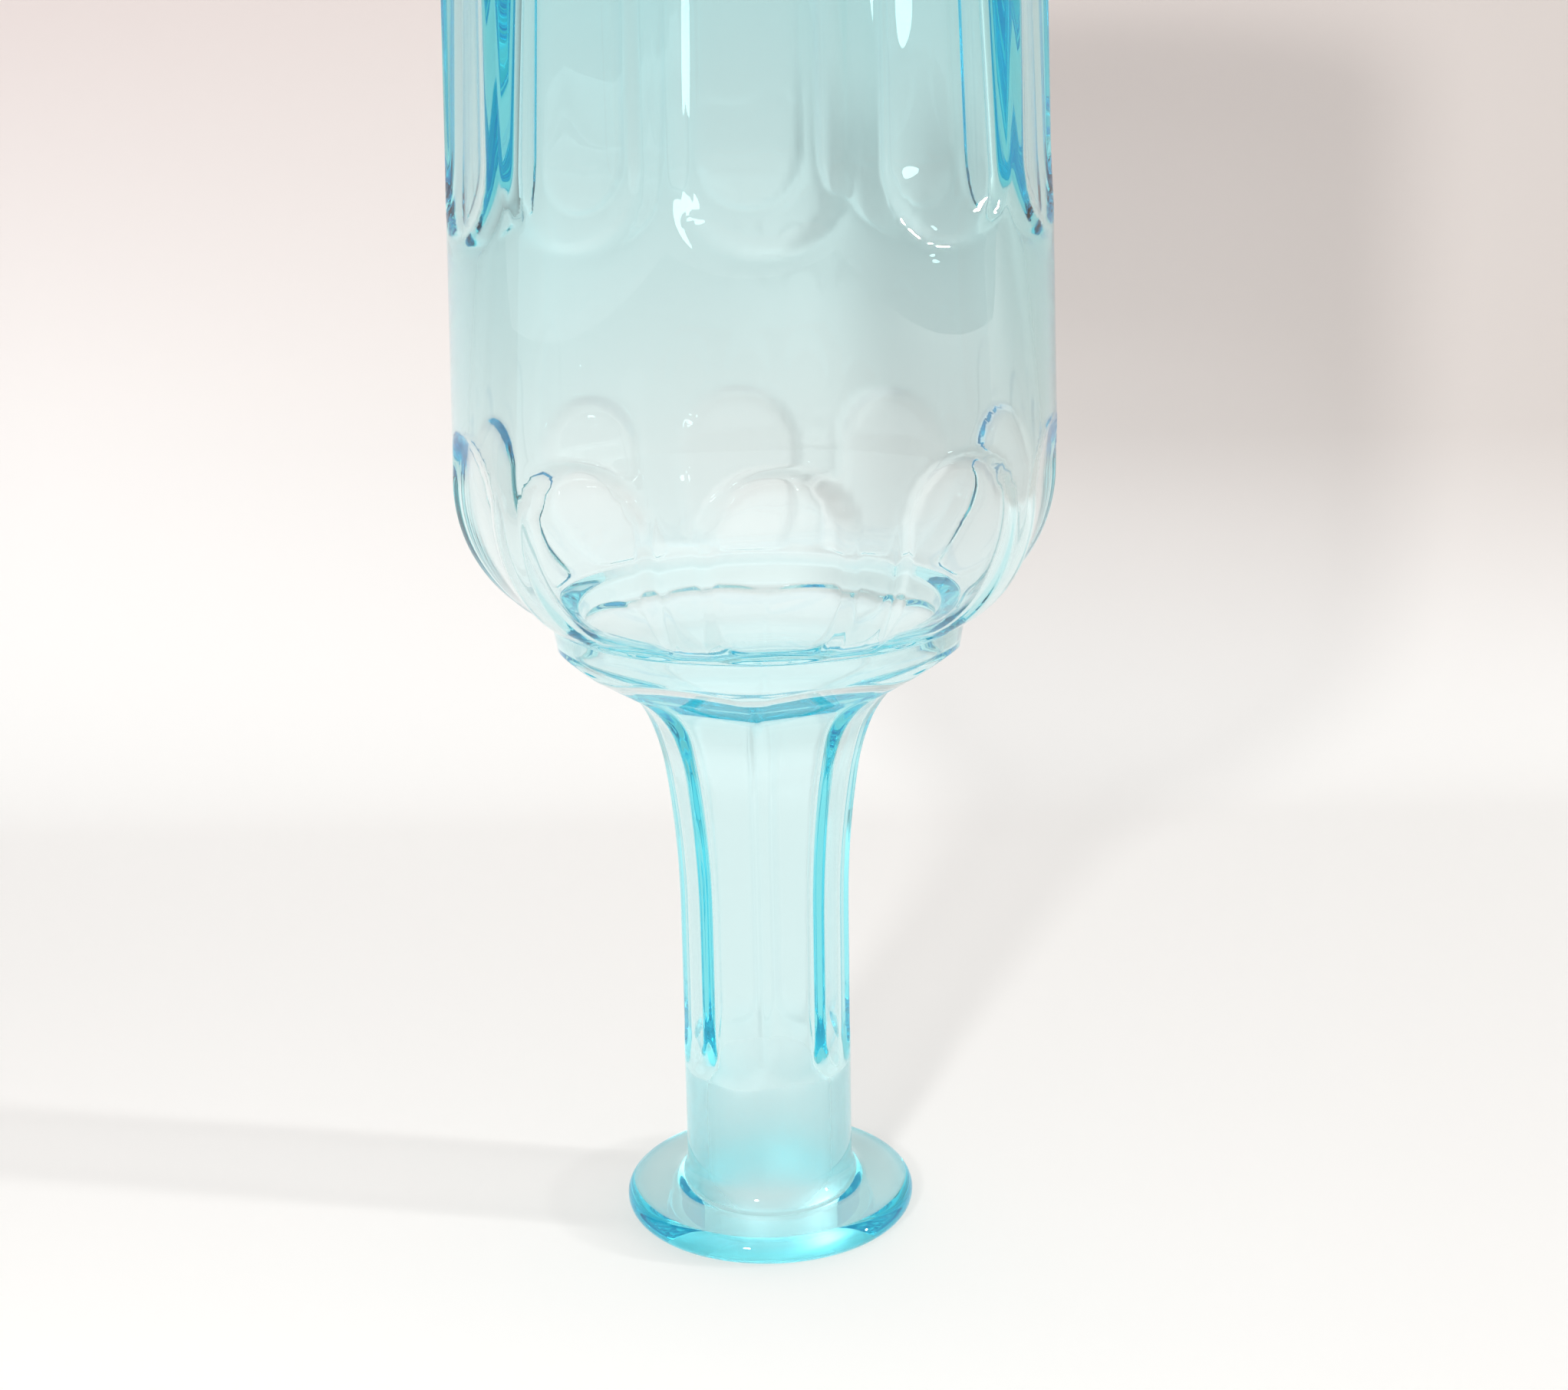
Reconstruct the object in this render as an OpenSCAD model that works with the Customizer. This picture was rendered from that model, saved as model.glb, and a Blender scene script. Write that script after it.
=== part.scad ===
// Moulded glass carafe with a flat lip, an eight sided neck, a collar ring and ten arched panels.
// It stands upside down on its lip: z = 0 is the rim of the mouth, and +Z runs to the base.
// Sizes are in millimetres, and an outline is a list of [radius, height] points.

/* [Overall] */
// Height from the rim of the mouth to the base
total_h = 240; // [225:1:260]
// Thickness of the wall at the shoulder
wall_t = 3; // [2.6:0.1:3.6]
// Thickness of the wall just above the base
foot_wall_t = 6.5; // [5:0.1:8]
// Thickness of the wall behind the collar ring
collar_wall_t = 3.5; // [3:0.1:4.5]

/* [Lip] */
// Diameter over the flat lip
lip_d = 50.4; // [46:0.2:56]
// Thickness of the lip at its rounded edge
lip_t = 4.8; // [4:0.1:6]
// Rise of the top of the lip from its edge to the foot of the neck
lip_rise = 0.7; // [0.3:0.1:1.2]
// Radius of the fillet between the lip and the neck
lip_fillet_r = 2.2; // [1.5:0.1:3]
// Diameter of the bore through the mouth and the neck
bore_d = 21.6; // [18:0.2:22.4]
// Radius of the rounded edge of the mouth
mouth_edge_r = 1.4; // [0.8:0.1:2]

/* [Neck] */
// Diameter of the round neck next to the lip
neck_d = 29; // [28:0.2:31]
// Number of flat sides cut on the neck
neck_sides = 8; // [7:1:9]
// Distance across the flat sides where the neck is straight
neck_flats = 26.9; // [26.2:0.1:27.4]
// Turn of the first corner of the neck from the front
neck_turn = -2.5; // [-10:0.5:10]
// Height at which the flat sides reach their full depth
neck_flats_z = 34.5; // [30:0.5:40]
// Height at which the flat sides start to widen
flare_z = 56; // [50:1:60]
// Radius of the slow first part of the widening, seen from the side
flare_slow_r = 180; // [150:5:210]
// Radius of its second part
flare_mid_r = 39; // [34:1:44]
// Radius of its last part, which runs out to the collar
flare_last_r = 17.6; // [15:0.2:20]

/* [Collar] */
// Diameter over the lower edge of the collar ring
collar_d = 67; // [65:0.5:68]
// Height of the lower edge of the collar ring
collar_z = 103.4; // [102:0.2:105]
// Height of the collar ring
collar_h = 5; // [4:0.2:6]
// Widening of the collar ring from its lower to its upper edge, on the radius
collar_flare = 0.9; // [0.4:0.1:1.2]
// Radius of the rounded lower edge of the collar ring
collar_edge_r = 1.6; // [1:0.1:2]
// Overhang of the shoulder past the collar ring, on the radius
overhang = 1.8; // [1.4:0.1:2.4]
// Height of the sloping underside of that overhang
overhang_h = 0.8; // [0.5:0.1:1.2]

/* [Body] */
// Diameter of the body where the shoulder ends
body_d = 98.2; // [94:0.2:102]
// Narrowing of the body from the shoulder to the base, on the radius
foot_narrowing = 3.1; // [2:0.1:4.5]
// Radius of the shoulder, seen from the side
shoulder_r = 25; // [24:0.2:26]
// Radius of the rounded heel of the base
heel_r = 6; // [4:0.5:8]
// Thickness of the base at its resting ring
base_t = 9; // [7:0.5:12]
// Radius of the rounded corner inside the base
inner_heel_r = 11; // [8:0.5:14]
// Depth of the hollow under the base
kick_h = 2.6; // [1.5:0.1:4]
// Diameter of that hollow
kick_d = 66; // [56:1:72]

/* [Inside] */
// Height at which the bore starts to widen
throat_z = 68; // [62:1:72]
// Slope of its slow widening, from upright
throat_slope = 9; // [7:0.5:11]
// Slope of the inside below the collar ring, from upright
under_collar_slope = 55; // [50:1:58]
// Height from the collar ring's lower edge to the top of that slope
under_collar_rise = 1.2; // [0.8:0.1:1.6]
// Radius of the curve between those two slopes
throat_bend_r = 12; // [8:0.5:16]

/* [Panels] */
// Number of panels round the shoulder, and round the body
panel_count = 10; // [9:1:11]
// Width of the raised strip between two shoulder panels, as an angle
shoulder_strip = 8.8; // [7:0.2:11]
// Depth of the shoulder panels at the overhang's edge
shoulder_cut = 0.66; // [0.4:0.02:1]
// Turn of the first shoulder panel from the front
shoulder_turn = 3.8; // [-10:0.2:10]
// Height of the arched ends of the shoulder panels above the shoulder
shoulder_arch_h = 10.9; // [9:0.1:14]
// Width of the raised strip between two body panels, as an angle
body_strip = 6; // [4:0.2:9]
// Turn of the first body panel from the front
body_turn = 2.2; // [-10:0.2:10]
// Height of the arched ends of the body panels above the shoulder
body_arch_h = 40.7; // [36:0.1:46]

/* [Hidden] */

// Segments of a full turn, and of an arc in an outline
turn_n = 70;
arc_n = 8;
// Reach of a cutter past the glass that it removes
clear = 2;
// Height by which the rings of the blank and of its cutters miss each other
stagger = 0.15;
// Slopes from upright at which the parts of the neck's widening end
flare_slopes = [8, 20, 58];
// Angle through which the collar ring's rounded lower edge turns under
collar_turn = 50;
// Radii of the soft corners of the inside: where the bore widens, and below and above the collar ring
throat_soft_r = 150;
ring_soft_r = [1.5, 2.5];
glass = [0.66, 0.87, 0.91, 0.55];

lip_r = lip_d / 2;
neck_r = neck_d / 2;
flat_r = neck_flats / 2;
bore_r = bore_d / 2;
body_r = body_d / 2;
kick_r = kick_d / 2;
collar_r = collar_d / 2;
collar_top = [collar_r + collar_flare, collar_z + collar_h];
edge = collar_top + [overhang, overhang_h];

// The arc of the shoulder starts at the overhang's edge and ends upright where the body starts
shoulder_c = [body_r - shoulder_r,
              edge[1] + sqrt(pow(shoulder_r, 2) - pow(edge[0] - body_r + shoulder_r, 2))];
body_z = shoulder_c[1];
taper = atan(foot_narrowing / (total_h - body_z));

// Radius of the body's round blank at a height
function body_at(z) = body_r - (z - body_z) * tan(taper);

// Points on the arc round c from angle a0 to angle a1
function arc(c, r, a0, a1, n = arc_n) =
    [for (i = [0 : n]) let (a = a0 + (a1 - a0) * i / n) c + r * [cos(a), sin(a)]];

// Height over which a cut of depth d runs out, where its end is an arc of radius r
function run_out(r, d) = sqrt(2 * r * d - d * d);

// A list of points without its first
function tail(points) = [for (i = [1 : len(points) - 1]) points[i]];

// The direction from one point to another
function way(from, to) = (to - from) / norm(to - from);

// Points on the arc of radius r that softens the corner at b of the outline a, b, c
function soft(a, b, c, r, n = arc_n) = let (
    back = way(b, a), ahead = way(b, c), half = acos(back * ahead) / 2,
    centre = b + way([0, 0], back + ahead) * r / sin(half),
    first = b + back * r / tan(half) - centre, last = b + ahead * r / tan(half) - centre,
    a0 = atan2(first[1], first[0]),
    a1 = a0 + (atan2(last[1], last[0]) - a0 + 540) % 360 - 180)
    arc(centre, r, a0, a1, n);

// The widening of the neck's flat sides: three arcs, each tangent to the one before it
flare_c1 = [flat_r + flare_slow_r, flare_z];
flare_c2 = flare_c1 + (flare_mid_r - flare_slow_r) * [cos(flare_slopes[0]), -sin(flare_slopes[0])];
flare_c3 = flare_c2 + (flare_last_r - flare_mid_r) * [cos(flare_slopes[1]), -sin(flare_slopes[1])];
flare = concat(arc(flare_c1, flare_slow_r, 180, 180 - flare_slopes[0], 3),
               tail(arc(flare_c2, flare_mid_r, 180 - flare_slopes[0], 180 - flare_slopes[1], 3)),
               tail(arc(flare_c3, flare_last_r, 180 - flare_slopes[1], 180 - flare_slopes[2], 7)));
flare_end = flare[len(flare) - 1];

// The round blank follows the widening just inside the corners, which takes their sharpness off
blank_flare = [for (p = flare) [p[0] * neck_r / flat_r, p[1] + stagger]];

// The heel's arc starts where the body's slope touches it
heel_c = [body_at(total_h - heel_r + heel_r * sin(taper)) - heel_r * cos(taper), total_h - heel_r];

// Round blank of the outside, from the rim of the mouth up to the base
module blank() {
    bead_r = lip_t / 2;
    foot_of_neck = lip_t + lip_rise;
    kick_arc_r = (pow(kick_r, 2) + pow(kick_h, 2)) / (2 * kick_h);
    rotate_extrude($fn = turn_n) polygon(concat(
        [[0, 0]],
        arc([lip_r - bead_r, bead_r], bead_r, -90, 90),
        arc([neck_r + lip_fillet_r, foot_of_neck + lip_fillet_r], lip_fillet_r, 270, 180, 5),
        blank_flare,
        arc([collar_r - collar_edge_r, collar_z], collar_edge_r, -collar_turn, 0, 4),
        [collar_top],
        arc(shoulder_c, shoulder_r, -asin((body_z - edge[1]) / shoulder_r), 0, 12),
        arc(heel_c, heel_r, taper, 90, 6),
        arc([0, total_h - kick_h + kick_arc_r], kick_arc_r, asin(kick_r / kick_arc_r) - 90, -90, 6)));
}

// Smooth inside, from past the mouth to the floor of the vessel. It follows the outside: a bore that widens,
// a steeper slope to an upright ring behind the collar, then the shoulder and the body
module cavity() {
    slope_c = shoulder_r - wall_t;
    slope = asin((body_z - edge[1]) / shoulder_r);
    top = shoulder_c + slope_c * [cos(slope), -sin(slope)];
    ring_r = collar_r - collar_wall_t;
    ring_top = [ring_r, top[1] - (top[0] - ring_r) / tan(slope)];
    ring_foot = [ring_r, collar_z + under_collar_rise];
    bore_end = [bore_r, throat_z];
    fast = tan(under_collar_slope);
    slow = tan(throat_slope);
    bend_z = (bore_r - ring_r + ring_foot[1] * fast - throat_z * slow) / (fast - slow);
    bend = [bore_r + (bend_z - throat_z) * slow, bend_z];
    floor_z = total_h - base_t;
    floor_r = body_at(floor_z) - foot_wall_t;
    rotate_extrude($fn = turn_n) polygon(concat(
        [[0, -clear], [bore_r + mouth_edge_r, -clear]],
        arc([bore_r + mouth_edge_r, mouth_edge_r], mouth_edge_r, 270, 180, 5),
        soft([bore_r, 0], bore_end, bend, throat_soft_r, 4),
        soft(bore_end, bend, ring_foot, throat_bend_r),
        soft(bend, ring_foot, ring_top, ring_soft_r[0], 4),
        soft(ring_foot, ring_top, top, ring_soft_r[1], 4),
        arc(shoulder_c, slope_c, -slope, 0),
        arc([floor_r - inner_heel_r, floor_z - inner_heel_r], inner_heel_r, 0, 90),
        [[0, floor_z]]));
}

// Removes what lies outside an outline, evenly round the axis and as far as the radius reach
module facets(outline, reach, count, turn) {
    first = outline[0];
    last = outline[len(outline) - 1];
    for (i = [0 : count - 1])
        rotate([90, 0, turn - 90 + i * 360 / count])
            linear_extrude(2 * reach * tan(180 / count), center = true)
                polygon(concat(outline, [[reach, last[1]], [reach, first[1]]]));
}

// Flat sides of the neck, which end in arches near the lip and at the collar
module neck_facets() {
    depth = neck_r - flat_r;
    start = run_out(neck_r, depth + clear / 4);
    last_r = collar_top[0] + clear / 2;
    last_z = flare_end[1] + (last_r - flare_end[0]) / tan(flare_slopes[2]);
    facets(concat(arc([flat_r + neck_r, neck_flats_z], neck_r, 180 + asin(start / neck_r), 180, 5),
                  flare, [[last_r, last_z]]),
           collar_top[0] + clear, neck_sides, neck_turn + 180 / neck_sides);
}

// Panels of the shoulder, from its lower edge to their arched ends on the body
module shoulder_facets() {
    flat = body_r * cos(180 / panel_count - shoulder_strip / 2);
    depth = body_at(body_z + shoulder_arch_h) - flat;
    bend_z = body_z + stagger;
    arch_h = shoulder_arch_h - stagger;
    arch_r = (pow(arch_h, 2) + pow(depth, 2)) / (2 * depth);
    past = run_out(arch_r, depth + clear / 4);
    rise = bend_z - edge[1];
    inset = flat - edge[0] + shoulder_cut;
    bend_r = (pow(rise, 2) + pow(inset, 2)) / (2 * inset);
    bend = arc([flat - bend_r, bend_z], bend_r, -asin(rise / bend_r), 0, 12);
    facets(concat([[bend[0][0], collar_top[1]]], bend,
                  tail(arc([flat + arch_r, bend_z], arch_r, 180, 180 - asin(past / arch_r), 6))),
           body_r + clear, panel_count, shoulder_turn);
}

// Panels of the body, from their arched ends up to the heel
module body_facets() {
    half = 180 / panel_count - body_strip / 2;
    arch_z = body_z + body_arch_h;
    depth = body_at(arch_z) * (1 - cos(half));
    start_z = arch_z + run_out(body_r, depth);
    past = run_out(body_r, depth + clear / 4);
    start = [body_at(start_z) * cos(half), start_z];
    facets(concat(arc(start + body_r * [cos(taper), sin(taper)], body_r,
                      180 + asin(past / body_r) + taper, 180 + taper, 6),
                  [[body_at(total_h + clear) * cos(half), total_h + clear]]),
           body_r + clear, panel_count, body_turn);
}

module carafe() {
    color(glass) difference() {
        blank();
        cavity();
        neck_facets();
        shoulder_facets();
        body_facets();
    }
}

carafe();
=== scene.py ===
# Looks of the moulded glass carafe: its smooth form, its tinted glass, the white sweep and the lamps.
import math

import bpy
import numpy as np
from mathutils import Matrix, Vector


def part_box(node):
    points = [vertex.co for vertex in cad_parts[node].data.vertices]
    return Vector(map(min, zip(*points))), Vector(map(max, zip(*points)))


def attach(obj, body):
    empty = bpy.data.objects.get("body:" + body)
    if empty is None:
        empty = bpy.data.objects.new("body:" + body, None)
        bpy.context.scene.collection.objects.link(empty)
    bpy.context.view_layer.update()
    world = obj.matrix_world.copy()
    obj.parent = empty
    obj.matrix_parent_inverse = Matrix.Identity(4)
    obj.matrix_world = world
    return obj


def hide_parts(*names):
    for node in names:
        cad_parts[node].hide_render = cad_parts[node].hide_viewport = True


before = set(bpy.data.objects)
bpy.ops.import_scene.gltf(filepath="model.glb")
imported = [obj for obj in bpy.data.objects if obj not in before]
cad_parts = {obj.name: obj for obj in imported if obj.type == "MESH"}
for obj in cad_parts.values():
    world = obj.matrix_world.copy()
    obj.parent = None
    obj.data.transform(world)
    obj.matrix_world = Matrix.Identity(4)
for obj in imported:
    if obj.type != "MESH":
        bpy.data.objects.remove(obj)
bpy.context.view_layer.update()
scene = bpy.context.scene

# The form is worked out in millimetres and made in metres
MM = 0.001
foot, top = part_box("carafe")
TOTAL_H = (top.z - foot.z) / MM

# Lip and mouth
LIP_R = 25.2
LIP_T = 4.8
LIP_EDGE_R = 2.3
LIP_RISE = 0.7
LIP_FILLET_R = 3.6
BORE_R = 10.8
MOUTH_EDGE_R = 1.4

# Neck: eight flat sides that widen in three arcs, each given by its radius and its last slope from upright
NECK_R = 14.5
NECK_SIDES = 8
FLAT_R = 13.45
NECK_TURN = -2.5
NECK_FACETS = NECK_TURN + 180 / NECK_SIDES
FLATS_Z = 34.5
FLARE_Z = 56.0
FLARE_ARCS = [(180.0, 8.0), (39.0, 20.0), (17.6, 58.0)]

# Collar ring under the shoulder's overhang
COLLAR_R = 33.5
COLLAR_Z = 103.4
COLLAR_H = 5.0
COLLAR_FLARE = 0.9
COLLAR_EDGE_R = 1.6
COLLAR_EDGE_TURN = math.radians(50)
OVERHANG = 1.8
OVERHANG_H = 0.8
OVERHANG_TOP_BLEND = 0.5
OVERHANG_FOOT_BLEND = 0.4
BOWL_FROM = 2.0

# Shoulder and body
BODY_R = 49.1
FOOT_NARROWING = 3.1
SHOULDER_R = 25.0
HEEL_R = 6.0
KICK_H = 2.6
KICK_R = 33.0
BASE_INSET = 1.5
PANELS = 10
SHOULDER_STRIP = 8.8
SHOULDER_CUT = 0.66
SHOULDER_TURN = 3.8
SHOULDER_ARCH_H = 10.9
BODY_STRIP = 6.0
BODY_TURN = 2.2
BODY_ARCH_H = 40.7

# Inside of the vessel: a bore that widens, a steeper slope, an upright ring behind the collar, with roundings
# at its foot and its top, then the walls of the shoulder and the body
WALL_T = 2.2
FOOT_WALL_T = 8.0
COLLAR_WALL_T = 3.5
NECK_WALL_T = 2.4
BASE_T = 9.0
FLOOR_FIRST_R = 3.0
INNER_FLATS_Z = 31.5
THROAT_FOOT_Z = 50.0
THROAT_Z = 68.0
THROAT_SLOPE = 9.0
THROAT_SOFT_R = 150.0
THROAT_BEND_R = 12.0
UNDER_COLLAR_SLOPE = 66.0
INNER_NECK_PAST = 4.0
UNDER_COLLAR_RISE = -1.6
RING_SOFT_R = (5.0, 1.2)
INNER_HEEL_R = 11.0
SHOULDER_LET_OUT = 2.0

# Height up to which the bore is ground for a stopper, over which that ends, and how rough it is
GROUND_Z = 26.5
GROUND_FADE = 1.6
GROUND_ROUGHNESS = 0.6

# Waves of the ground seat's edge: height, count round the bore, and start
GROUND_WAVES = [(0.5, 2, 0.8), (0.3, 5, 0.0)]

# Height over which the body's panels start to throw the light aside
PANELLED_FADE = 6.0

# How fast the painted shade on the lip turns it a deeper blue towards its edge, where one looks along the
# glass
LIP_SHADE_POWER = 6

# How far two surfaces blend where they meet, so that the fire-polished edges are soft. The neck's blend turns
# into the collar's over a height.
NECK_BLEND = 0.3
COLLAR_BLEND = 0.25
BLEND_TURN_Z = (90.0, 98.0)
SHOULDER_BLEND = 0.15
BODY_BLEND = 0.3
INNER_NECK_BLEND = 0.6
INNER_BLEND = 0.4
INNER_BODY_BLEND = 1.2

# Depth of the panels inside their rims, depth of the cut over which a rim falls, and how hollow a panel is
# where its cut has the full depth
RECESS = 0.42
RIM = 0.3
HOLLOW = 0.25
HOLLOW_FROM = 1.7

# How far past its arch a panel's cut is still worked out
PANEL_PAST = 8.0

# Vertices round the axis, a multiple of both numbers of facets, and how far they gather at the facets' edges
COLUMNS = 200
GATHER = 0.5

# Heights over which the columns turn from the neck's facets to the shoulder's, and from those to the body's
TO_SHOULDER_Z = (103.0, 109.0)
TO_BODY_Z = (146.0, 166.0)

# Heights of the rings, in stretches of (from, up to, step), closer together where the form turns
OUTER_RINGS = [(9.8, 27, 2.6), (27.6, 36, 0.42), (37.5, 56, 3.1), (56.6, 80, 2.1), (80.8, 93.5, 0.8),
               (93.9, 98.4, 0.42), (98.6, 103.9, 0.2), (104.3, 107.6, 0.7), (107.8, 110.3, 0.22),
               (110.7, 131, 1.05), (131.5, 145.5, 0.65), (147, 168, 3.5), (169.3, 186, 0.62),
               (188, TOTAL_H - HEEL_R - 1, 6.2)]
INNER_BODY_RINGS = [(TOTAL_H - BASE_T - INNER_HEEL_R, 187, -3.3), (186, 168, -1.0), (166, 146, -3.3)]
INNER_BORE_RINGS = [(53, 37, -3.0), (35.5, 25, -0.7), (24, MOUTH_EDGE_R + 1, -3.2)]
THROAT_STEP = 1.0

collar_top = np.array([COLLAR_R + COLLAR_FLARE, COLLAR_Z + COLLAR_H])
edge = collar_top + [OVERHANG, OVERHANG_H]
shoulder_c = np.array([BODY_R - SHOULDER_R,
                       edge[1] + math.sqrt(SHOULDER_R ** 2 - (edge[0] - BODY_R + SHOULDER_R) ** 2)])
body_z = shoulder_c[1]
taper = math.atan(FOOT_NARROWING / (TOTAL_H - body_z))
shoulder_arch_z = body_z + SHOULDER_ARCH_H
body_arch_z = body_z + BODY_ARCH_H


# The inside, from the bore up: slope, upright ring behind the collar, slope, arc of the shoulder, body
floor_z = TOTAL_H - BASE_T
floor_r = BODY_R - (floor_z - body_z) * math.tan(taper) - FOOT_WALL_T
inner_shoulder_r = SHOULDER_R - WALL_T
shoulder_slope = math.asin((body_z - edge[1]) / SHOULDER_R)
slope_top = shoulder_c + inner_shoulder_r * np.array([math.cos(shoulder_slope), -math.sin(shoulder_slope)])
ring_r = COLLAR_R - COLLAR_WALL_T
ring_top = (ring_r, slope_top[1] - (slope_top[0] - ring_r) / math.tan(shoulder_slope))
ring_foot = (ring_r, COLLAR_Z + UNDER_COLLAR_RISE)
steep, gentle = math.tan(math.radians(UNDER_COLLAR_SLOPE)), math.tan(math.radians(THROAT_SLOPE))
bend_z = (BORE_R - ring_r + ring_foot[1] * steep - THROAT_Z * gentle) / (steep - gentle)
bend = (BORE_R + (bend_z - THROAT_Z) * gentle, bend_z)


def body_at(z):
    """Radius of the body's round blank at a height."""
    return BODY_R - (z - body_z) * math.tan(taper)


def inner_at(z):
    """Radius of the round inside of the body at a height."""
    part = (z - body_z) / (floor_z - INNER_HEEL_R - body_z)
    return BODY_R - WALL_T - (BODY_R - WALL_T - floor_r) * part


def arc(centre, radius, start, end, count):
    """Points on an arc, from one angle to another in degrees."""
    a = np.radians(np.linspace(start, end, count))
    return np.stack([centre[0] + radius * np.cos(a), centre[1] + radius * np.sin(a)], 1)


def line(start, end, count):
    """Points on a straight line, without its last."""
    t = np.linspace(0, 1, count, endpoint=False)[:, None]
    return np.asarray(start) * (1 - t) + np.asarray(end) * t


def heights(stretches):
    """The heights in a list of stretches."""
    return np.concatenate([np.arange(*stretch) for stretch in stretches])


def share(z, span):
    """How far a height is through a span, from 0 to 1."""
    return float(np.clip((z - span[0]) / (span[1] - span[0]), 0, 1))


def smooth_min(a, b, blend):
    """The lower of two values, rounded off where they are nearly the same."""
    h = np.clip(blend - np.abs(a - b), 0, None) / blend
    return np.minimum(a, b) - h * h * blend / 4


def hollow_arc(z, centre, radius):
    """Radius of an arc that bulges towards the axis, and past its ends the same value as at them."""
    return centre[0] - np.sqrt(np.clip(radius ** 2 - (z - centre[1]) ** 2, 0, None))


def flare_at(z):
    """Distance from the axis of the neck's flat sides where they widen."""
    z = np.asarray(z, float)
    centre = np.array([FLAT_R + FLARE_ARCS[0][0], FLARE_Z])
    reached = np.where(z < FLARE_Z, FLAT_R, 0.0)
    low = FLARE_Z
    for i, (radius, slope) in enumerate(FLARE_ARCS):
        a = math.radians(slope)
        high = centre[1] + radius * math.sin(a)
        reached = np.where((z >= low) & (z < high), hollow_arc(z, centre, radius), reached)
        low = high
        last = np.array([centre[0] - radius * math.cos(a), high])
        if i + 1 < len(FLARE_ARCS):
            step = FLARE_ARCS[i + 1][0] - radius
            centre = centre + step * np.array([math.cos(a), -math.sin(a)])
    return np.where(z >= low, last[0] + (z - last[1]) * math.tan(a), reached), last


flare_end = flare_at(0.0)[1]


def neck_flat_at(z):
    """Distance from the axis of the neck's flat sides, with the arc in which they end near the lip."""
    start = hollow_arc(z, (FLAT_R + NECK_R, FLATS_Z), NECK_R)
    return np.where(z < FLATS_Z, start, flare_at(z)[0])


def shoulder_flat_at(z, deeper=0.0):
    """Distance from the axis of the shoulder's panels, and with a depth of those inside."""
    flat = BODY_R * math.cos(math.radians(180 / PANELS - SHOULDER_STRIP / 2))
    depth = body_at(shoulder_arch_z) - flat
    arch_r = (SHOULDER_ARCH_H ** 2 + depth ** 2) / (2 * depth)
    rise, inset = body_z - edge[1], flat - edge[0] + SHOULDER_CUT
    side_r = (rise ** 2 + inset ** 2) / (2 * inset)
    low = math.asin(rise / side_r)
    foot_z = body_z - (side_r - deeper) * math.sin(low)
    if z > body_z:
        return hollow_arc(z, (flat + arch_r, body_z), arch_r + deeper)
    side = flat - side_r + math.sqrt((side_r - deeper) ** 2 - (body_z - max(z, foot_z)) ** 2)
    if deeper and z < foot_z:
        side = max(side - (foot_z - z) * math.tan(low), ring_r)
        side += max(foot_z - z - SHOULDER_LET_OUT, 0)
    return side


def body_arch():
    """Half the angle of one of the body's panels, and the height where the arch at its end runs out."""
    half = math.radians(180 / PANELS - BODY_STRIP / 2)
    depth = body_at(body_arch_z) * (1 - math.cos(half))
    return half, body_arch_z + math.sqrt(2 * BODY_R * depth - depth ** 2)


def body_flat_at(z):
    """Distance from the axis of the body's panels."""
    half, start_z = body_arch()
    centre = (body_at(start_z) * math.cos(half) + BODY_R * math.cos(taper),
              start_z + BODY_R * math.sin(taper))
    return np.where(z < start_z, hollow_arc(z, centre, BODY_R), body_at(z) * math.cos(half))


def inner_body_flat_at(z):
    """Distance from the axis of the body's panels inside."""
    half, start_z = body_arch()
    cut = body_at(start_z) * (1 - math.cos(half))
    if z > start_z:
        return inner_at(z) - cut - max(z - floor_z + INNER_HEEL_R, 0) * cut / INNER_HEEL_R
    lean = math.atan(inner_at(start_z) - inner_at(start_z + 1))
    centre = (inner_at(start_z) - cut + BODY_R * math.cos(lean), start_z + BODY_R * math.sin(lean))
    return hollow_arc(z, centre, BODY_R)


def inner_neck_flat_at(z):
    """Distance from the axis of the bore's flat sides."""
    flat = BORE_R * FLAT_R / NECK_R
    if z < INNER_FLATS_Z:
        return hollow_arc(z, (flat + NECK_R, INNER_FLATS_Z), NECK_R)
    return float(np.interp(z, inner_neck[:, 1], inner_neck[:, 0]))


def facet_radius(theta, reach, count, turn, blend):
    """Radius of the surface that a ring of facets leaves, with its corners blended."""
    pitch = 2 * math.pi / count
    off = np.mod(theta - math.radians(turn) + pitch / 2, pitch) - pitch / 2
    return smooth_min(reach / np.cos(off), reach / np.cos(pitch - np.abs(off)), blend)


def recessed(plain, panel, blend):
    """A ring with its panels cut, which lie a little deeper inside a soft rim, and hollow in the middle."""
    rim = np.clip((plain - panel) / RIM, 0, 1)
    hollow = np.clip((plain - panel) / HOLLOW_FROM, 0, 1)
    return smooth_min(plain, panel, blend) - RECESS * rim * rim * (3 - 2 * rim) - HOLLOW * hollow


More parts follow.
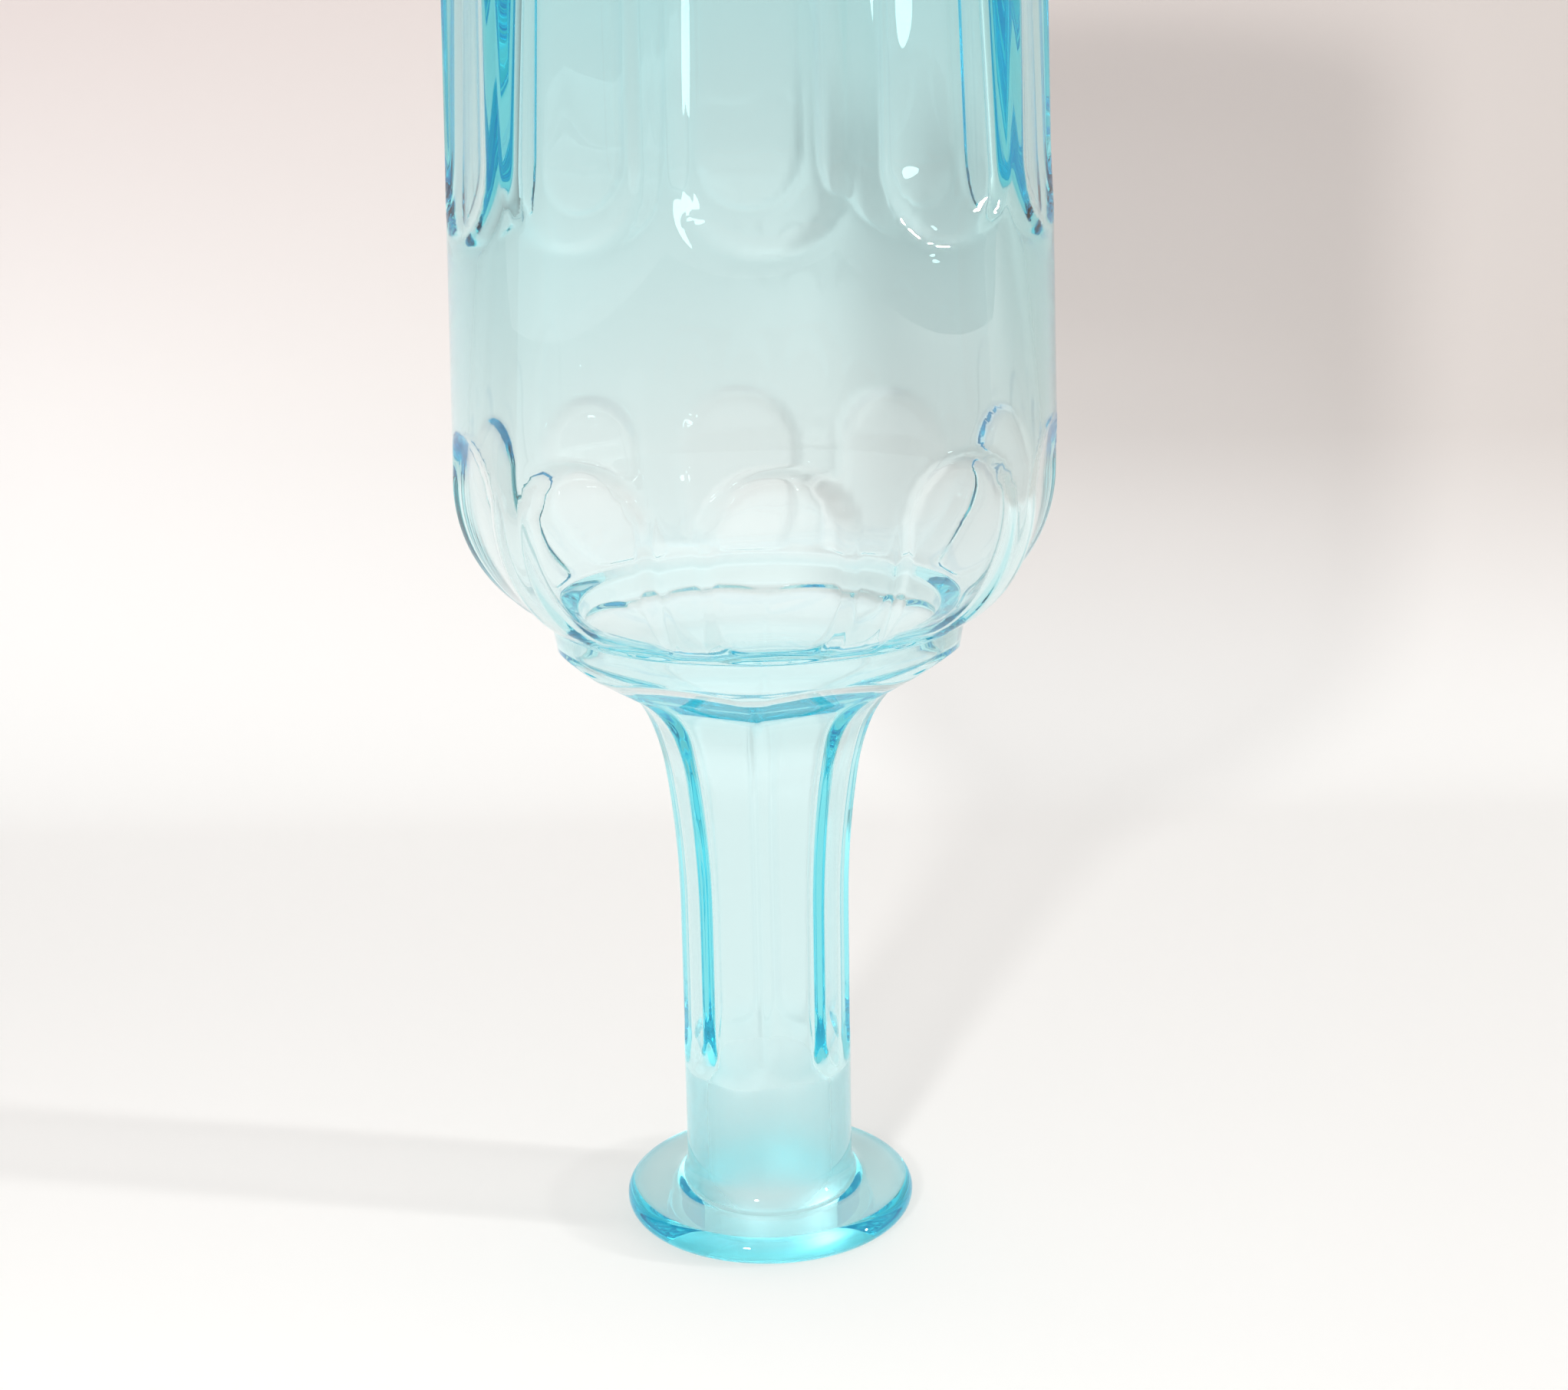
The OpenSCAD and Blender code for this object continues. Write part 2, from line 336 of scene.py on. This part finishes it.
def blank_rings():
    """The outside's round outline, from the rim of the mouth up to the middle of the base."""
    neck_foot = LIP_T + LIP_RISE
    heel_z = TOTAL_H - HEEL_R
    heel_x = body_at(heel_z + HEEL_R * math.sin(taper)) - HEEL_R * math.cos(taper)
    kick_r = (KICK_R ** 2 + KICK_H ** 2) / (2 * KICK_H)
    kick_a = math.degrees(math.asin(KICK_R / kick_r))
    rise = heights(OUTER_RINGS)
    wall = np.stack([blank_at(rise), rise], 1)
    return np.concatenate([
        line((BORE_R + MOUTH_EDGE_R, 0), (LIP_R - LIP_EDGE_R, 0), 5),
        arc((LIP_R - LIP_EDGE_R, LIP_EDGE_R), LIP_EDGE_R, -90, 0, 8),
        arc((LIP_R - LIP_EDGE_R, LIP_T - LIP_EDGE_R), LIP_EDGE_R, 0, 90, 8)[:-1],
        line((LIP_R - LIP_EDGE_R, LIP_T), (NECK_R + LIP_FILLET_R, neck_foot), 7),
        arc((NECK_R + LIP_FILLET_R, neck_foot + LIP_FILLET_R), LIP_FILLET_R, 270, 180, 8),
        wall,
        arc((heel_x, heel_z), HEEL_R, math.degrees(taper), 90, 10),
        line((heel_x - BASE_INSET, TOTAL_H), (KICK_R, TOTAL_H), 3),
        arc((0, TOTAL_H - KICK_H + kick_r), kick_r, kick_a - 90, -90, 9)[:-1]])


def blank_at(z):
    """Radius of the round blank from the neck up to the heel."""
    ratio = NECK_R / FLAT_R
    neck = flare_at(z)[0] * ratio
    end = (flare_end[0] * ratio, flare_end[1])
    low = (COLLAR_R - COLLAR_EDGE_R * (1 - math.cos(COLLAR_EDGE_TURN)),
           COLLAR_Z - COLLAR_EDGE_R * math.sin(COLLAR_EDGE_TURN))
    under = end[0] + (z - end[1]) * (low[0] - end[0]) / (low[1] - end[1])
    corner = COLLAR_R - COLLAR_EDGE_R + np.sqrt(np.clip(COLLAR_EDGE_R ** 2 - (z - COLLAR_Z) ** 2, 0, None))
    side = COLLAR_R + (z - COLLAR_Z) * COLLAR_FLARE / COLLAR_H
    overhang = collar_top[0] + (z - collar_top[1]) * OVERHANG / OVERHANG_H
    bowl = shoulder_c[0] + np.sqrt(np.clip(SHOULDER_R ** 2 - (z - body_z) ** 2, 0, None))
    collar = np.where(z < low[1], under, np.where(z < COLLAR_Z, corner, side))
    step = -smooth_min(-side, -smooth_min(overhang, bowl, OVERHANG_TOP_BLEND), OVERHANG_FOOT_BLEND)
    r = np.where(z < end[1], neck, collar)
    r = np.where(z > COLLAR_Z + COLLAR_H / 2, step, r)
    r = np.where(z > edge[1] + BOWL_FROM, bowl, r)
    return np.where(z > body_z, body_at(z), r)


def rounded(corners, steps):
    """An outline through corners given as (radius from the axis, height, rounding radius)."""
    out = [np.array([corners[0][:2]])]
    for before, corner, behind in zip(corners, corners[1:], corners[2:]):
        at, radius = np.array(corner[:2]), corner[2]
        back = np.array(before[:2]) - at
        ahead = np.array(behind[:2]) - at
        back, ahead = back / np.hypot(*back), ahead / np.hypot(*ahead)
        half = math.acos(float(np.clip(back @ ahead, -1, 1))) / 2
        reach = radius / math.tan(half)
        centre = at + (back + ahead) / np.hypot(*(back + ahead)) * radius / math.sin(half)
        first, last = at + back * reach - centre, at + ahead * reach - centre
        start = math.degrees(math.atan2(first[1], first[0]))
        turn = (math.degrees(math.atan2(last[1], last[0])) - start + 180) % 360 - 180
        out.append(arc(centre, radius, start, start + turn, steps))
    out.append(np.array([corners[-1][:2]]))
    return np.concatenate(out)


# The bore's flat sides: they widen with the bore, then take the slope under the collar, through a point
# behind the end of the flare
neck_share = FLAT_R / NECK_R
last_slope = math.radians(UNDER_COLLAR_SLOPE)
behind = flare_end + NECK_WALL_T * np.array([-math.cos(last_slope), math.sin(last_slope)])
last_r = ring_r + INNER_NECK_PAST
high_z = ((BORE_R - THROAT_Z * gentle) * neck_share - behind[0] + behind[1] * steep) / (
    steep - gentle * neck_share)
inner_neck = rounded([(BORE_R * neck_share, INNER_FLATS_Z, 0), (BORE_R * neck_share, THROAT_Z, THROAT_SOFT_R),
                      (neck_share * (BORE_R + (high_z - THROAT_Z) * gentle), high_z, THROAT_BEND_R),
                      (last_r, behind[1] + (last_r - behind[0]) / steep, 0)], 9)


def inside_rings():
    """The inside's round outline, from the middle of the floor down to the rounded edge of the mouth."""
    heel = (floor_r - INNER_HEEL_R, floor_z - INNER_HEEL_R)
    wall = heights(INNER_BODY_RINGS + [(145, body_z + 0.4, -1.0)])
    throat = rounded([(*slope_top, 0), (*ring_top, RING_SOFT_R[1]), (*ring_foot, RING_SOFT_R[0]),
                      (*bend, THROAT_BEND_R), (BORE_R, THROAT_Z, THROAT_SOFT_R),
                      (BORE_R, THROAT_FOOT_Z, 0)], 9)
    bore = heights(INNER_BORE_RINGS)
    mouth = (BORE_R + MOUTH_EDGE_R, MOUTH_EDGE_R)
    return np.concatenate([
        line((FLOOR_FIRST_R, floor_z), (heel[0], floor_z), 5),
        arc(heel, INNER_HEEL_R, 90, 0, 10)[:-1],
        np.stack([inner_at(wall), wall], 1),
        arc(shoulder_c, inner_shoulder_r, 0, -math.degrees(shoulder_slope), 22)[:-1],
        in_steps(throat[:-1], THROAT_STEP),
        np.stack([np.full(len(bore), BORE_R), bore], 1),
        arc(mouth, MOUTH_EDGE_R, 180, 270, 6)[:-1]])


def in_steps(points, longest):
    """An outline whose long stretches are divided into steps."""
    out = []
    for a, b in zip(points, points[1:]):
        out.append(line(a, b, max(1, math.ceil(np.hypot(*(b - a)) / longest))))
    return np.concatenate(out + [points[-1:]])


def inner_ring(r, z):
    """One ring of the inside, which follows the facets outside with softer corners."""
    theta = column_angles(z)
    cut = np.full(len(theta), float(r))
    if FLATS_Z - NECK_R < z < ring_foot[1] + INNER_NECK_PAST:
        panel = facet_radius(theta, inner_neck_flat_at(z), NECK_SIDES, NECK_FACETS, INNER_NECK_BLEND)
        cut = smooth_min(cut, panel, INNER_NECK_BLEND)
    if ring_foot[1] < z < shoulder_arch_z + PANEL_PAST:
        panel = facet_radius(theta, shoulder_flat_at(z, WALL_T), PANELS, SHOULDER_TURN, INNER_BLEND)
        cut = smooth_min(cut, panel, INNER_BLEND)
    if body_arch_z - PANEL_PAST < z < floor_z - 1:
        panel = facet_radius(theta, inner_body_flat_at(z), PANELS, BODY_TURN, INNER_BODY_BLEND)
        cut = smooth_min(cut, panel, INNER_BODY_BLEND)
    return ring_points(cut, z, theta)


def gathered(theta, count, turn):
    """Angles drawn towards the corners between a ring's facets."""
    off = count * (theta - math.radians(turn)) - math.pi
    return theta - GATHER * np.sin(off) / count


def column_angles(z):
    """Angle of each column at a height: the columns follow the facets of neck, shoulder and body."""
    even = np.arange(COLUMNS) * 2 * math.pi / COLUMNS
    neck = gathered(even, NECK_SIDES, NECK_FACETS)
    shoulder = gathered(even, PANELS, SHOULDER_TURN)
    body = gathered(even, PANELS, BODY_TURN)
    to_shoulder, to_body = share(z, TO_SHOULDER_Z), share(z, TO_BODY_Z)
    return (neck * (1 - to_shoulder) + shoulder * to_shoulder) * (1 - to_body) + body * to_body


def ring_points(r, z, theta):
    """The points of one ring."""
    return np.stack([r * np.sin(theta), -r * np.cos(theta), np.full(len(theta), z)], 1)


def outer_ring(r, z):
    """One ring of the outside, cut by the facets at its height."""
    theta = column_angles(z)
    cut = np.full(len(theta), r)
    if FLATS_Z - NECK_R < z < collar_top[1] - 1:
        blend = NECK_BLEND + (COLLAR_BLEND - NECK_BLEND) * share(z, BLEND_TURN_Z)
        neck = facet_radius(theta, neck_flat_at(z), NECK_SIDES, NECK_FACETS, blend)
        cut = smooth_min(cut, neck, blend)
    if collar_top[1] < z < shoulder_arch_z + PANEL_PAST:
        panel = facet_radius(theta, shoulder_flat_at(z), PANELS, SHOULDER_TURN, SHOULDER_BLEND)
        cut = recessed(cut, panel, SHOULDER_BLEND)
    if z > body_arch_z - PANEL_PAST:
        panel = facet_radius(theta, body_flat_at(z), PANELS, BODY_TURN, BODY_BLEND)
        cut = recessed(cut, panel, BODY_BLEND)
    return ring_points(cut, z, theta)


def ground_seat(points, inside_from):
    """How far each point is ground: 1 where a stopper would sit, down to 0 past an uneven edge."""
    theta = np.arctan2(points[:, 0], -points[:, 1])
    edge_z = GROUND_Z + sum(rise * np.sin(count * theta + start) for rise, count, start in GROUND_WAVES)
    amount = np.clip((edge_z - points[:, 2]) / GROUND_FADE + 0.5, 0, 1)
    amount[:inside_from] = 0
    return amount


def carafe_mesh():
    """One closed mesh of the whole wall of glass: the outside, the base, the inside and the mouth."""
    rings = [outer_ring(r, z) for r, z in blank_rings()]
    base = len(rings)
    rings += [inner_ring(r, z) for r, z in inside_rings()]
    n = COLUMNS
    points = np.concatenate(rings + [[(0, 0, TOTAL_H - KICK_H)], [(0, 0, TOTAL_H - BASE_T)]])
    outer_pole, inner_pole = len(points) - 2, len(points) - 1
    faces = []
    here = np.arange(n)
    after = (here + 1) % n
    for i in range(len(rings)):
        if i == base - 1:
            continue
        a, b = i * n, ((i + 1) % len(rings)) * n
        faces += np.stack([a + here, a + after, b + after, b + here], 1).tolist()
    last, first = (base - 1) * n, base * n
    faces += np.stack([last + here, last + after, np.full(n, outer_pole)], 1).tolist()
    faces += np.stack([first + after, first + here, np.full(n, inner_pole)], 1).tolist()
    mesh = bpy.data.meshes.new("carafe_glass")
    mesh.from_pydata((points * MM).tolist(), [], faces)
    mesh.polygons.foreach_set("use_smooth", [True] * len(mesh.polygons))
    ground = mesh.attributes.new("ground", "FLOAT", "POINT")
    ground.data.foreach_set("value", ground_seat(points, base * n))
    # Painted shade: the lip's outer edge gets a deeper blue, standing in for the long paths of light through
    # the glass there
    painted_lip_shade = mesh.attributes.new("painted_lip_shade", "FLOAT", "POINT")
    out = np.clip((np.hypot(points[:, 0], points[:, 1]) - NECK_R) / (LIP_R - NECK_R), 0, 1)
    painted_lip_shade.data.foreach_set("value", np.where(points[:, 2] < LIP_T + LIP_RISE, out ** LIP_SHADE_POWER, 0))
    panelled = mesh.attributes.new("panelled", "FLOAT", "POINT")
    panelled.data.foreach_set("value", np.clip((points[:, 2] - body_arch_z) / PANELLED_FADE, 0, 1))
    mesh.update()
    return mesh


def node(tree, kind, **sockets):
    """A shader node, with values or links for its input sockets."""
    made = tree.nodes.new(kind)
    for name, value in sockets.items():
        socket = made.inputs[int(name[1:])] if name[0] == "_" else made.inputs[name.replace("_", " ")]
        if isinstance(value, bpy.types.NodeSocket):
            tree.links.new(value, socket)
        else:
            socket.default_value = value
    return made


# The glass: what it takes up along a path through it, and the deeper blue painted on its lip's edge as shade
GLASS_IOR = 1.52
GLASS_TINT = (0.18, 0.91, 0.964, 1)
GLASS_DENSITY = 50.0
CLEAR = (1, 1, 1, 1)
LIP_EDGE_SHADE = (0.2, 0.8, 0.9, 1)

# Its shadow: what each surface lets through, plain or panelled, and what the glass itself takes up
PASSED_PLAIN = (0.93, 0.93, 0.93, 1)
PASSED_PANELLED = (0.72, 0.72, 0.72, 1)
SHADOW_TINT = (0.1, 0.12, 0.14, 1)
SHADOW_DENSITY = 29.0


def glass_material():
    """Glass that takes up red light, and so turns deeply blue where light passes through much of it. Its
    lip's edge has a painted shade of deeper blue.
    """
    material = bpy.data.materials.new("blue_glass")
    material.use_nodes = True
    tree = material.node_tree
    tree.nodes.clear()
    ground = tree.nodes.new("ShaderNodeAttribute")
    ground.attribute_name = "ground"
    rough = node(tree, "ShaderNodeMath", _0=ground.outputs["Fac"], _1=GROUND_ROUGHNESS)
    rough.operation = "MULTIPLY"
    # Painted shade: the lip's edge takes a deeper blue base colour
    painted_lip_shade = tree.nodes.new("ShaderNodeAttribute")
    painted_lip_shade.attribute_name = "painted_lip_shade"
    colour = node(tree, "ShaderNodeMix", _0=painted_lip_shade.outputs["Fac"], _6=CLEAR, _7=LIP_EDGE_SHADE)
    colour.data_type = "RGBA"
    glass = node(tree, "ShaderNodeBsdfPrincipled", Base_Color=colour.outputs[2], Roughness=rough.outputs[0],
                 IOR=GLASS_IOR, Transmission_Weight=1.0)
    path = node(tree, "ShaderNodeLightPath")
    panelled = tree.nodes.new("ShaderNodeAttribute")
    panelled.attribute_name = "panelled"
    passed = node(tree, "ShaderNodeMix", _0=panelled.outputs["Fac"], _6=PASSED_PLAIN, _7=PASSED_PANELLED)
    passed.data_type = "RGBA"
    clear = node(tree, "ShaderNodeBsdfTransparent", Color=passed.outputs[2])
    straight = node(tree, "ShaderNodeMath", _0=path.outputs["Is Shadow Ray"],
                    _1=path.outputs["Is Diffuse Ray"])
    straight.operation = "MAXIMUM"
    mixed = node(tree, "ShaderNodeMixShader", _0=straight.outputs[0], _1=glass.outputs[0],
                 _2=clear.outputs[0])
    tint = node(tree, "ShaderNodeVolumeAbsorption", Color=GLASS_TINT, Density=GLASS_DENSITY)
    shade = node(tree, "ShaderNodeVolumeAbsorption", Color=SHADOW_TINT, Density=SHADOW_DENSITY)
    body = node(tree, "ShaderNodeMixShader", _0=path.outputs["Is Shadow Ray"], _1=tint.outputs[0],
                _2=shade.outputs[0])
    node(tree, "ShaderNodeOutputMaterial", Surface=mixed.outputs[0], Volume=body.outputs[0])
    return material


def make_carafe():
    mesh = carafe_mesh()
    piece = bpy.data.objects.new("carafe_glass", mesh)
    scene.collection.objects.link(piece)
    mesh.materials.append(glass_material())
    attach(piece, "root")
    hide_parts("carafe")
    return piece


# The photograph's camera: focal length in pixels of its 2044 wide frame, place in metres, angles in degrees
FRAME_W = 2044
FOCAL_PX = 3290
SENSOR_W = 36.0
CAMERA_PLACE = (0.0, -0.4055, 0.21417)
CAMERA_DOWN = 16.58
CAMERA_YAW = -0.56
CAMERA_ROLL = -1.031


def make_camera():
    data = bpy.data.cameras.new("camera")
    data.sensor_width = SENSOR_W
    data.lens = FOCAL_PX * SENSOR_W / FRAME_W
    data.clip_start = 0.01
    camera = bpy.data.objects.new("camera", data)
    scene.collection.objects.link(camera)
    turned = (Matrix.Rotation(math.radians(CAMERA_YAW), 4, "Z")
              @ Matrix.Rotation(math.radians(90 - CAMERA_DOWN), 4, "X")
              @ Matrix.Rotation(math.radians(CAMERA_ROLL), 4, "Z"))
    camera.matrix_world = Matrix.Translation(CAMERA_PLACE) @ turned
    scene.camera = camera


# White sweep: a floor that curves up into a wall behind the carafe
WALL_Y = 0.30
SWEEP_R = 0.10
SWEEP_HALF_W = 1.5
FLOOR_Z = -0.0003
FLOOR_FRONT = -2.5
WALL_TOP = 1.6
SWEEP_STEPS = 24

# Tone of the paper low down, and the painted shade that darkens it high on the wall and above the floor at
# the right, and where it turns from one to another
PAPER_LOW = (0.985, 0.985, 0.975, 1)
PAPER_HIGH_SHADED = (0.74, 0.66, 0.645, 1)
PAPER_RIGHT_SHADED = (0.60, 0.55, 0.525, 1)
PAPER_FADE_Z = 0.2
PAPER_TURN_Z = 0.08
PAPER_FADE_X = (-0.2, 0.3)


def make_sweep():
    """The paper under and behind the carafe, with painted shade high on the wall and above the floor at the
    right. The wall is clear from its back, so that it hides nothing.
    """
    outline = [(FLOOR_FRONT, FLOOR_Z), (0.0, FLOOR_Z)]
    for i in range(SWEEP_STEPS + 1):
        a = math.radians(-90 + 90 * i / SWEEP_STEPS)
        outline.append((WALL_Y - SWEEP_R + SWEEP_R * math.cos(a), FLOOR_Z + SWEEP_R + SWEEP_R * math.sin(a)))
    outline.append((WALL_Y, WALL_TOP))
    points = [(x, y, z) for y, z in outline for x in (-SWEEP_HALF_W, SWEEP_HALF_W)]
    faces = [(2 * i, 2 * i + 1, 2 * i + 3, 2 * i + 2) for i in range(len(outline) - 1)]
    mesh = bpy.data.meshes.new("sweep")
    mesh.from_pydata(points, [], faces)
    mesh.polygons.foreach_set("use_smooth", [True] * len(mesh.polygons))
    sweep = bpy.data.objects.new("sweep", mesh)
    scene.collection.objects.link(sweep)
    material = bpy.data.materials.new("white_paper")
    material.use_nodes = True
    tree = material.node_tree
    tree.nodes.clear()
    side = node(tree, "ShaderNodeNewGeometry")
    place = node(tree, "ShaderNodeSeparateXYZ", Vector=side.outputs["Position"])
    height = node(tree, "ShaderNodeMapRange", Value=place.outputs["Z"], From_Max=PAPER_FADE_Z)
    low = node(tree, "ShaderNodeMapRange", Value=place.outputs["Z"], From_Max=PAPER_TURN_Z)
    right = node(tree, "ShaderNodeMapRange", Value=place.outputs["X"], From_Min=PAPER_FADE_X[0],
                 From_Max=PAPER_FADE_X[1])
    both = node(tree, "ShaderNodeMath", _0=low.outputs["Result"], _1=right.outputs["Result"])
    both.operation = "MULTIPLY"
    # Painted shade: the paper darkens towards the top of the wall and above the floor at the right
    shade = node(tree, "ShaderNodeMix", _0=height.outputs["Result"], _6=PAPER_LOW, _7=PAPER_HIGH_SHADED)
    shade.data_type = "RGBA"
    shaded_tone = node(tree, "ShaderNodeMix", _0=both.outputs[0], _6=shade.outputs[2], _7=PAPER_RIGHT_SHADED)
    shaded_tone.data_type = "RGBA"
    paper = node(tree, "ShaderNodeBsdfDiffuse", Color=shaded_tone.outputs[2])
    behind = node(tree, "ShaderNodeBsdfTransparent")
    mixed = node(tree, "ShaderNodeMixShader", _0=side.outputs["Backfacing"], _1=paper.outputs[0],
                 _2=behind.outputs[0])
    node(tree, "ShaderNodeOutputMaterial", Surface=mixed.outputs[0])
    mesh.materials.append(material)


# Lamps: name, place, width across in metres and power in watts
LAMPS = [("lamp_left", (-0.208, -0.583, 0.34), 0.06, 3.15), ("lamp_right", (2.42, -0.50, 0.74), 0.12, 50.0)]
LAMP_AIM = (0, 0, 0.12)
LAMP_COLOUR = (1.0, 1.0, 0.99)

# Light that the room casts, and how bright it looks in and through the glass
ROOM_COLOUR = (0.96, 0.96, 0.955, 1)
ROOM_LIGHT = 0.37
ROOM_SEEN = 0.95
BOUNCES = 32


def make_lamp(name, place, size, watts):
    data = bpy.data.lights.new(name, "AREA")
    data.shape = "DISK"
    data.size = size
    data.energy = watts
    data.color = LAMP_COLOUR
    lamp = bpy.data.objects.new(name, data)
    scene.collection.objects.link(lamp)
    lamp.location = place
    lamp.rotation_euler = (Vector(LAMP_AIM) - Vector(place)).to_track_quat("-Z", "Y").to_euler()
    lamp.visible_camera = False


def make_light():
    """A small lamp near the camera on its left, a larger one far to the right, and a pale room."""
    for lamp in LAMPS:
        make_lamp(*lamp)
    world = bpy.data.worlds.new("room")
    scene.world = world
    world.use_nodes = True
    tree = world.node_tree
    tree.nodes.clear()
    path = node(tree, "ShaderNodeLightPath")
    through = node(tree, "ShaderNodeMath", _0=path.outputs["Is Glossy Ray"],
                   _1=path.outputs["Is Transmission Ray"])
    seen = node(tree, "ShaderNodeMath", _0=through.outputs[0], _1=path.outputs["Is Camera Ray"])
    through.operation = seen.operation = "MAXIMUM"
    strength = node(tree, "ShaderNodeMath", _0=seen.outputs[0], _1=ROOM_SEEN - ROOM_LIGHT, _2=ROOM_LIGHT)
    strength.operation = "MULTIPLY_ADD"
    room = node(tree, "ShaderNodeBackground", Color=ROOM_COLOUR, Strength=strength.outputs[0])
    node(tree, "ShaderNodeOutputWorld", Surface=room.outputs[0])


make_camera()
make_carafe()
make_sweep()
make_light()
scene.view_settings.view_transform = "Standard"
scene.cycles.max_bounces = BOUNCES
scene.cycles.transmission_bounces = BOUNCES
scene.cycles.glossy_bounces = BOUNCES
scene.cycles.transparent_max_bounces = BOUNCES
